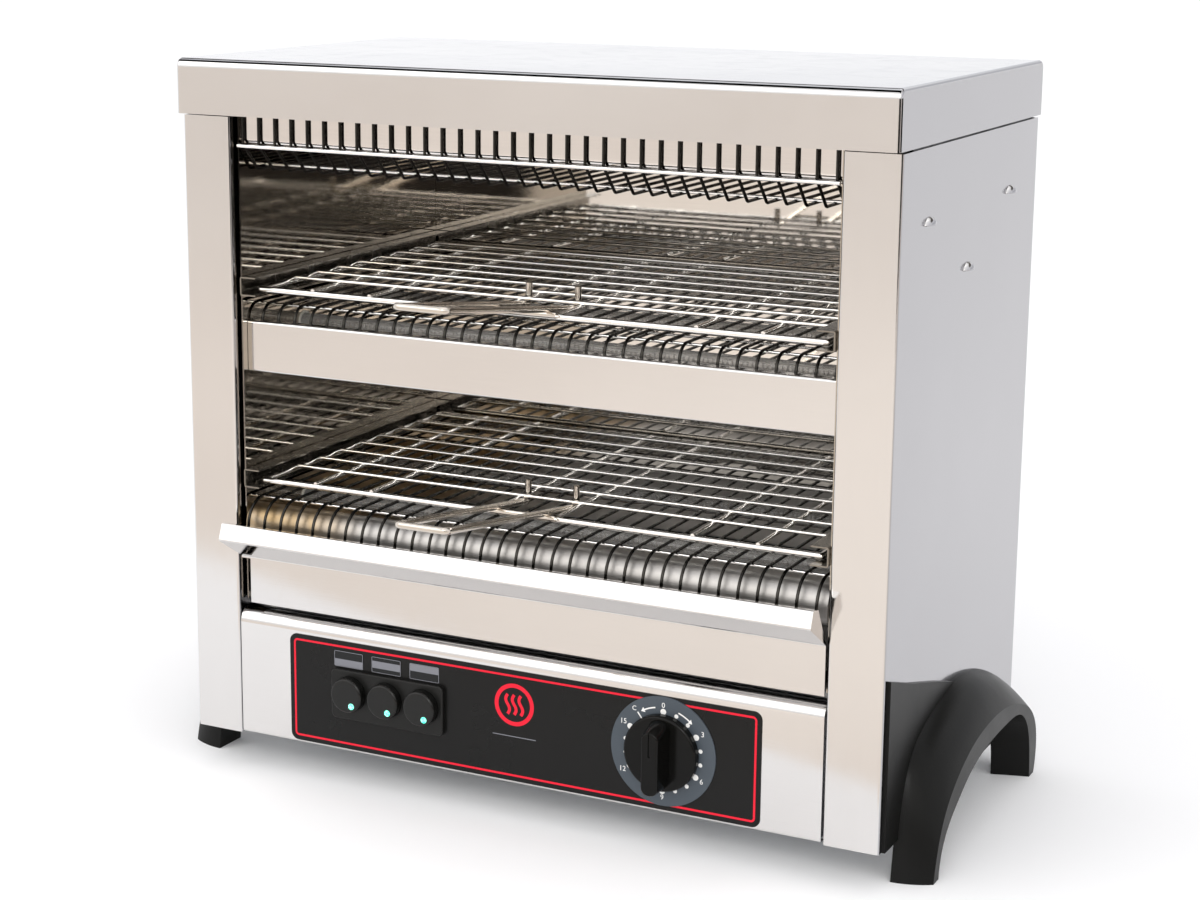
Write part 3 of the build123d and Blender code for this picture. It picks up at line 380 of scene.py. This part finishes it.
def lens_finish():
    made, g = new_material("lens_green")
    cloud = g.noise((1, 1, 1), 700.0, 2.0)
    shader = g.node("ShaderNodeBsdfPrincipled")
    g.put(shader, "Base Color", g.blend(cloud, colour(0.02, 0.62, 0.40), colour(0.20, 0.95, 0.72)))
    glow = g.blend(g.ramp(cloud, 0.4, 0.6), colour(0.0, 0.75, 0.42), colour(0.55, 1.0, 0.85))
    g.put(shader, "Emission Color", glow)
    shader.inputs["Emission Strength"].default_value = 1.1
    shader.inputs["Roughness"].default_value = 0.12
    finish_material(g, shader)
    return made


finishes["quartz"] = quartz_finish()
finishes["lens_green"] = lens_finish()

NODE_FINISH = {
    "top_cover": "cover_steel",
    "left_side_panel": "side_steel",
    "right_side_panel": "side_steel",
    "back_panel": "back_steel",
    "base_pan": "galvanised",
    # Painted shade: the roof frame is near black to stand in for the shadowed gap it is seen through.
    "roof_frame": "painted_shade_zinc",
    "left_inner_wall": "inner_steel",
    "right_inner_wall": "inner_steel",
    "inner_back_wall": "back_mirror",
    "mid_front_bar": "front_steel",
    "tray_deck": "galvanised",
    "control_panel": "front_steel",
    "heating_coils": "coil_wire",
    "end_caps": "ceramic",
    "upper_reflector": "reflector_steel",
    "lower_reflector": "roll_steel",
    "crumb_tray": "tray_steel",
    "tray_front": "tray_front_steel",
    "panel_label": "label_black",
    "symbol_windows": "window_grey",
    "button_bezel": "bezel_black",
    "dial_plate": "dial_grey",
    "timer_knob": "knob_black",
    "timer_shaft": "plated_steel",
    "timer_body": "switch_grey",
    "terminal_block": "terminal_white",
    "cable_gland": "gland_black",
    "wiring_loom": "loom_sleeve",
    "left_foot": "foot_black",
    "right_foot": "foot_black",
    "foot_screws": "plated_steel",
    "back_screws": "plated_steel",
}
for node_name in nodes:
    if "guard" in node_name:
        NODE_FINISH[node_name] = node_name
    elif node_name.endswith("_rack"):
        NODE_FINISH[node_name] = "rack_chrome"
    elif node_name.endswith("_rack_handle"):
        NODE_FINISH[node_name] = "handle_steel"
    elif node_name.endswith("_rail"):
        NODE_FINISH[node_name] = "rail_steel"
    elif "_tube_" in node_name:
        NODE_FINISH[node_name] = "quartz"
    elif node_name.endswith("_heat_button"):
        NODE_FINISH[node_name] = "button_black"
    elif node_name.endswith("_heat_lens"):
        NODE_FINISH[node_name] = "lens_green"
    elif node_name.endswith("_heat_switch"):
        NODE_FINISH[node_name] = "switch_grey"


def dress(obj, material):
    obj.data.materials.clear()
    obj.data.materials.append(material)


for node_name, obj in nodes.items():
    dress(obj, finishes[NODE_FINISH[node_name]])


# ---------------------------------------------------------------- printed marks and small parts

LABEL_FACE = -93.2
WINDOW_FACE = -93.6
DIAL_FACE = -94.2
PRINT = 0.06
DIAL_CENTRE = (114.0, 73.0)


def piece(name, mesh, material, body="casing"):
    obj = bpy.data.objects.new(name, mesh)
    scene.collection.objects.link(obj)
    dress(obj, finishes[material])
    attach(obj, body)
    return obj


def flat_print(name, outlines, face_y, material):
    """Thin printed marks on a face that looks to the front.

    Each outline is (outer loop, inner loop or None) in mm.
    """
    bm = bmesh.new()
    front = (face_y - PRINT) * MM
    back = (face_y + 0.02) * MM
    for outer, inner in outlines:
        if inner is None:
            low = [bm.verts.new((x * MM, back, z * MM)) for x, z in outer]
            high = [bm.verts.new((x * MM, front, z * MM)) for x, z in outer]
            bm.faces.new(high)
            bm.faces.new(list(reversed(low)))
            for i in range(len(outer)):
                j = (i + 1) % len(outer)
                bm.faces.new((low[i], low[j], high[j], high[i]))
        else:
            rows = []
            for loop, y in ((outer, back), (outer, front), (inner, front), (inner, back)):
                rows.append([bm.verts.new((x * MM, y, z * MM)) for x, z in loop])
            for r in range(4):
                one, two = rows[r], rows[(r + 1) % 4]
                for i in range(len(outer)):
                    j = (i + 1) % len(outer)
                    bm.faces.new((one[i], one[j], two[j], two[i]))
    bmesh.ops.recalc_face_normals(bm, faces=bm.faces)
    mesh = bpy.data.meshes.new(name)
    bm.to_mesh(mesh)
    bm.free()
    return piece(name, mesh, material)


def round_box(x0, z0, x1, z1, radius, steps=8):
    points = []
    for cx, cz, start in (
        (x1 - radius, z1 - radius, 0),
        (x0 + radius, z1 - radius, 90),
        (x0 + radius, z0 + radius, 180),
        (x1 - radius, z0 + radius, 270),
    ):
        for i in range(steps + 1):
            a = math.radians(start + 90 * i / steps)
            points.append((cx + radius * math.cos(a), cz + radius * math.sin(a)))
    return points


def disc(cx, cz, radius, steps=28):
    return [
        (cx + radius * math.cos(2 * math.pi * i / steps), cz + radius * math.sin(2 * math.pi * i / steps))
        for i in range(steps)
    ]


def stroke(points, width):
    """A ribbon of even width along a path, as one outline."""
    left, right = [], []
    for i, (x, z) in enumerate(points):
        ax, az = points[max(i - 1, 0)]
        bx, bz = points[min(i + 1, len(points) - 1)]
        length = math.hypot(bx - ax, bz - az)
        nx, nz = -(bz - az) / length, (bx - ax) / length
        left.append((x + nx * width / 2, z + nz * width / 2))
        right.append((x - nx * width / 2, z - nz * width / 2))
    return left + right[::-1]


def around_dial(angle, radius):
    """A point on the dial, by clockwise angle from the top and radius."""
    a = math.radians(angle)
    return DIAL_CENTRE[0] + radius * math.sin(a), DIAL_CENTRE[1] + radius * math.cos(a)


# The red line round the label.
flat_print(
    "label_outline",
    [(round_box(-181.6, 34.4, 181.6, 108.6, 3.2), round_box(-180.1, 35.9, 180.1, 107.1, 1.6))],
    LABEL_FACE,
    "print_red",
)

# A generic heat mark: a ring with three wavy lines.
EMBLEM = (0.0, 87.0)
emblem_ring = (disc(*EMBLEM, 15.4, 64), disc(*EMBLEM, 12.4, 64))
flat_print("heat_mark_ring", [emblem_ring], LABEL_FACE, "print_red")
waves = []
for offset in (-5.2, 0.0, 5.2):
    path = []
    for i in range(33):
        t = i / 32
        path.append((EMBLEM[0] + offset + 1.5 * math.sin(2 * math.pi * t), EMBLEM[1] - 7.2 + 14.4 * t))
    waves.append((stroke(path, 2.3), None))
flat_print("heat_mark_waves", waves, LABEL_FACE, "print_red")
divider = (round_box(-17, 63.4, 17, 64.0, 0.2, 2), None)
flat_print("label_divider", [divider], LABEL_FACE, "print_grey")

# Heat level windows over the three buttons.
WINDOW_Z = 98.8
window_frames = []
window_bars = []
for x, low, high in ((-134.8, -5.3, -0.2), (-103.4, -2.5, 2.7), (-72.0, 0.3, 5.3)):
    outer = round_box(x - 12.0, WINDOW_Z - 5.8, x + 12.0, WINDOW_Z + 5.8, 1.0, 4)
    inner = round_box(x - 11.6, WINDOW_Z - 5.4, x + 11.6, WINDOW_Z + 5.4, 0.6, 4)
    window_frames.append((outer, inner))
    window_bars.append((round_box(x - 11.5, WINDOW_Z + low, x + 11.5, WINDOW_Z + high, 0.2, 2), None))
flat_print("window_frames", window_frames, WINDOW_FACE, "print_grey")
flat_print("window_bars", window_bars, WINDOW_FACE, "print_grey")

# The dial: dots, the two set-back arrows and the minutes.
dots = []
for angle in range(0, 300, 20):
    size = 2.1 if angle % 60 == 0 else 1.45
    dots.append((disc(*around_dial(angle, 28.2), size), None))
dots.append((disc(*around_dial(300, 28.2), 2.1), None))
dots.append((stroke([around_dial(-37, 25.8), around_dial(-37, 31.5)], 0.95), None))
flat_print("dial_dots", dots, DIAL_FACE, "print_white")


def arrow(radius, start, end, head):
    """An arc round the dial with a pointed head at its end."""
    steps = 12
    path = [around_dial(start + (end - start) * i / steps, radius) for i in range(steps + 1)]
    way = 1 if end > start else -1
    tip = around_dial(end + way * head, radius)
    return [
        (stroke(path, 0.95), None),
        ([tip, around_dial(end, radius + 1.9), around_dial(end, radius - 1.9)], None),
    ]


flat_print("dial_arrows", arrow(30.9, -11, -27, 5) + arrow(31.2, 21, 38, 5), DIAL_FACE, "print_white")


def lettering(name, marks, face_y, size, material):
    """Upright figures centred on the given points, flat on the face."""
    whole = bmesh.new()
    for text, x, z, scale in marks:
        curve = bpy.data.curves.new(name, "FONT")
        curve.body = text
        curve.size = size * scale
        curve.align_x = "CENTER"
        curve.align_y = "CENTER"
        curve.resolution_u = 4
        made = bpy.data.objects.new(name, curve)
        scene.collection.objects.link(made)
        bpy.context.view_layer.update()
        mesh = bpy.data.meshes.new_from_object(made.evaluated_get(bpy.context.evaluated_depsgraph_get()))
        bpy.data.objects.remove(made)
        mesh.transform(
            Matrix.Translation((x * MM, (face_y - PRINT) * MM, z * MM))
            @ Matrix.Rotation(math.radians(90), 4, "X")
            @ Matrix.Scale(MM, 4)
        )
        whole.from_mesh(mesh)
    mesh = bpy.data.meshes.new(name)
    whole.to_mesh(mesh)
    whole.free()
    return piece(name, mesh, material)


# Minutes at (angle, radius) on the dial, and C for the hold position before zero.
FIGURE_SIZE = 5.2
MINUTES = {
    "0": (0, 32.6),
    "3": (60, 33.6),
    "6": (120, 33.2),
    "9": (180, 32.6),
    "12": (240, 34.4),
    "15": (300, 34.0),
}
figures = [(text, *around_dial(*place), 1.0) for text, place in MINUTES.items()]
figures.append(("C", *around_dial(-38, 34.8), 0.9))
lettering("dial_figures", figures, DIAL_FACE, FIGURE_SIZE, "print_white")


COIL_LEVELS = (0.465, 0.325, 0.190)
COIL_DEPTHS = (-0.005, 0.115)
COIL_RADIUS = 0.00205
COIL_HALF = 0.2199
COIL_WIRE_RADIUS = 0.00045
COIL_TURNS = 120
POINTS_PER_TURN = 10


def helix_coils():
    """Open resistance coils inside the quartz tubes."""
    curve = bpy.data.curves.new("heater_coils", "CURVE")
    curve.dimensions = "3D"
    curve.bevel_depth = COIL_WIRE_RADIUS
    curve.bevel_resolution = 1
    count = COIL_TURNS * POINTS_PER_TURN
    for z in COIL_LEVELS:
        for y in COIL_DEPTHS:
            line = curve.splines.new("POLY")
            line.points.add(count)
            for i in range(count + 1):
                a = 2 * math.pi * i / POINTS_PER_TURN
                x = -COIL_HALF + 2 * COIL_HALF * i / count
                line.points[i].co = (x, y + COIL_RADIUS * math.cos(a), z + COIL_RADIUS * math.sin(a), 1)
    made = bpy.data.objects.new("coil_source", curve)
    scene.collection.objects.link(made)
    bpy.context.view_layer.update()
    mesh = bpy.data.meshes.new_from_object(made.evaluated_get(bpy.context.evaluated_depsgraph_get()))
    bpy.data.objects.remove(made)
    mesh.polygons.foreach_set("use_smooth", [True] * len(mesh.polygons))
    obj = piece("heater_coils", mesh, "coil_wire")
    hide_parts("heating_coils")


helix_coils()

# ---------------------------------------------------------------- stage and light

# A white floor that turns warm beige in front of a slanting line, out of the main view. The polished fronts
# show it.
FLOOR_SLANT = 0.346
FLOOR_EDGE = (-0.335, -0.36)

floor_material, g = new_material("floor")
shader = g.node("ShaderNodeBsdfPrincipled")
place = g.axes()
edge = g.math("SUBTRACT", place[1], g.math("MULTIPLY", place[0], FLOOR_SLANT))
front = g.ramp(edge, *FLOOR_EDGE, smooth=True)
patches = g.ramp(g.noise((1, 0.35, 1), 0.9, 2.0, 0.5), 0.35, 0.65, 0.0, 1.0, smooth=True)
beige = g.blend(patches, colour(0.80, 0.723, 0.655), colour(0.88, 0.812, 0.745))
g.put(shader, "Base Color", g.blend(front, colour(0.95, 0.95, 0.955), beige))
shader.inputs["Roughness"].default_value = 0.7
shader.inputs["Specular IOR Level"].default_value = 0.1
finish_material(g, shader)

FLOOR_HALF = 30.0
floor_mesh = bpy.data.meshes.new("floor")
corners = [(x * FLOOR_HALF, y * FLOOR_HALF, 0) for x, y in ((-1, -1), (1, -1), (1, 1), (-1, 1))]
floor_mesh.from_pydata(corners, [], [(0, 1, 2, 3)])
floor = bpy.data.objects.new("floor", floor_mesh)
scene.collection.objects.link(floor)
floor_mesh.materials.append(floor_material)

# A dark card at the front right, seen only in the mirror-finished inner walls. It is lower than the
# toaster, so the top cover never shows it.
FLAG_HEIGHT = 0.5
flag_material, g = new_material("flag")
shader = g.node("ShaderNodeBsdfPrincipled")
cloud = g.noise((1, 1, 1), 2.0, 2.0)
g.put(shader, "Base Color", g.blend(cloud, colour(0.012, 0.011, 0.010), colour(0.03, 0.027, 0.024)))
shader.inputs["Roughness"].default_value = 0.9
finish_material(g, shader)
flag_mesh = bpy.data.meshes.new("flag")
flag_near, flag_far = (0.95, -2.2), (3.4, -0.9)
flag_corners = [(*flag_near, 0.002), (*flag_far, 0.002), (*flag_far, FLAG_HEIGHT), (*flag_near, FLAG_HEIGHT)]
flag_mesh.from_pydata(flag_corners, [], [(0, 1, 2, 3)])
flag = bpy.data.objects.new("flag", flag_mesh)
scene.collection.objects.link(flag)
flag_mesh.materials.append(flag_material)
flag.visible_camera = False
flag.visible_diffuse = False
flag.visible_shadow = False

world = bpy.data.worlds.new("studio")
scene.world = world
world.use_nodes = True
g = Graph(world.node_tree)
place = g.node("ShaderNodeTexCoord")
way = g.node("ShaderNodeSeparateXYZ", Vector=place.outputs["Generated"]).outputs
above = g.ramp(way[2], -0.02, 0.35, smooth=True)
sky = g.blend(above, colour(1.12, 1.12, 1.13), colour(1.14, 1.14, 1.16))

# A dark band high behind.
rise = g.ramp(way[2], 0.42, 0.52, smooth=True)
overhead = g.math("MULTIPLY", rise, g.ramp(way[2], 0.80, 0.68, smooth=True))
behind = g.math("MULTIPLY", overhead, g.ramp(way[1], 0.25, 0.45, smooth=True))
sky = g.blend(behind, sky, colour(0.12, 0.11, 0.10))

# A low band behind, seen in the top cover, that dims to the right.
low = g.math("MULTIPLY", g.ramp(way[2], 0.05, 0.10, smooth=True), g.ramp(way[2], 0.36, 0.26, smooth=True))
back = g.math("MULTIPLY", low, g.ramp(way[1], 0.3, 0.5, smooth=True))
low_band = g.blend(g.ramp(way[0], -0.6, -0.1), colour(1.01, 1.02, 1.05), colour(0.80, 0.81, 0.84))
sky = g.blend(back, sky, low_band)

# A bright band ahead, seen in the racks, the pull lip and the reflectors.
raised = g.math("MULTIPLY", g.ramp(way[2], 0.12, 0.20, smooth=True), g.ramp(way[2], 0.75, 0.6, smooth=True))
ahead = g.math("MULTIPLY", raised, g.ramp(way[1], -0.25, -0.5, smooth=True))
sky = g.blend(ahead, sky, colour(1.85, 1.82, 1.78))
back_light = g.node("ShaderNodeBackground")
g.put(back_light, "Color", sky)
back_light.inputs["Strength"].default_value = 1.0
out = g.node("ShaderNodeOutputWorld")
g.tree.links.new(back_light.outputs[0], out.inputs[0])


def soft_light(name, at, size, power, tint=(1, 1, 1), aim=(0, 0, 0.25)):
    data = bpy.data.lights.new(name, "AREA")
    data.shape = "RECTANGLE"
    data.size, data.size_y = size
    data.energy = power
    data.color = tint
    lamp = bpy.data.objects.new(name, data)
    lamp.location = at
    lamp.rotation_euler = (Vector(aim) - Vector(at)).to_track_quat("-Z", "Y").to_euler()
    scene.collection.objects.link(lamp)


soft_light("key_softbox", (-1.3, -1.5, 1.9), (1.5, 1.1), 5.0, (1.0, 0.985, 0.96))
soft_light("top_softbox", (0.3, -0.1, 2.2), (1.8, 1.2), 2.5)
soft_light("front_softbox", (0.95, -1.9, 1.35), (0.55, 0.5), 7.0)
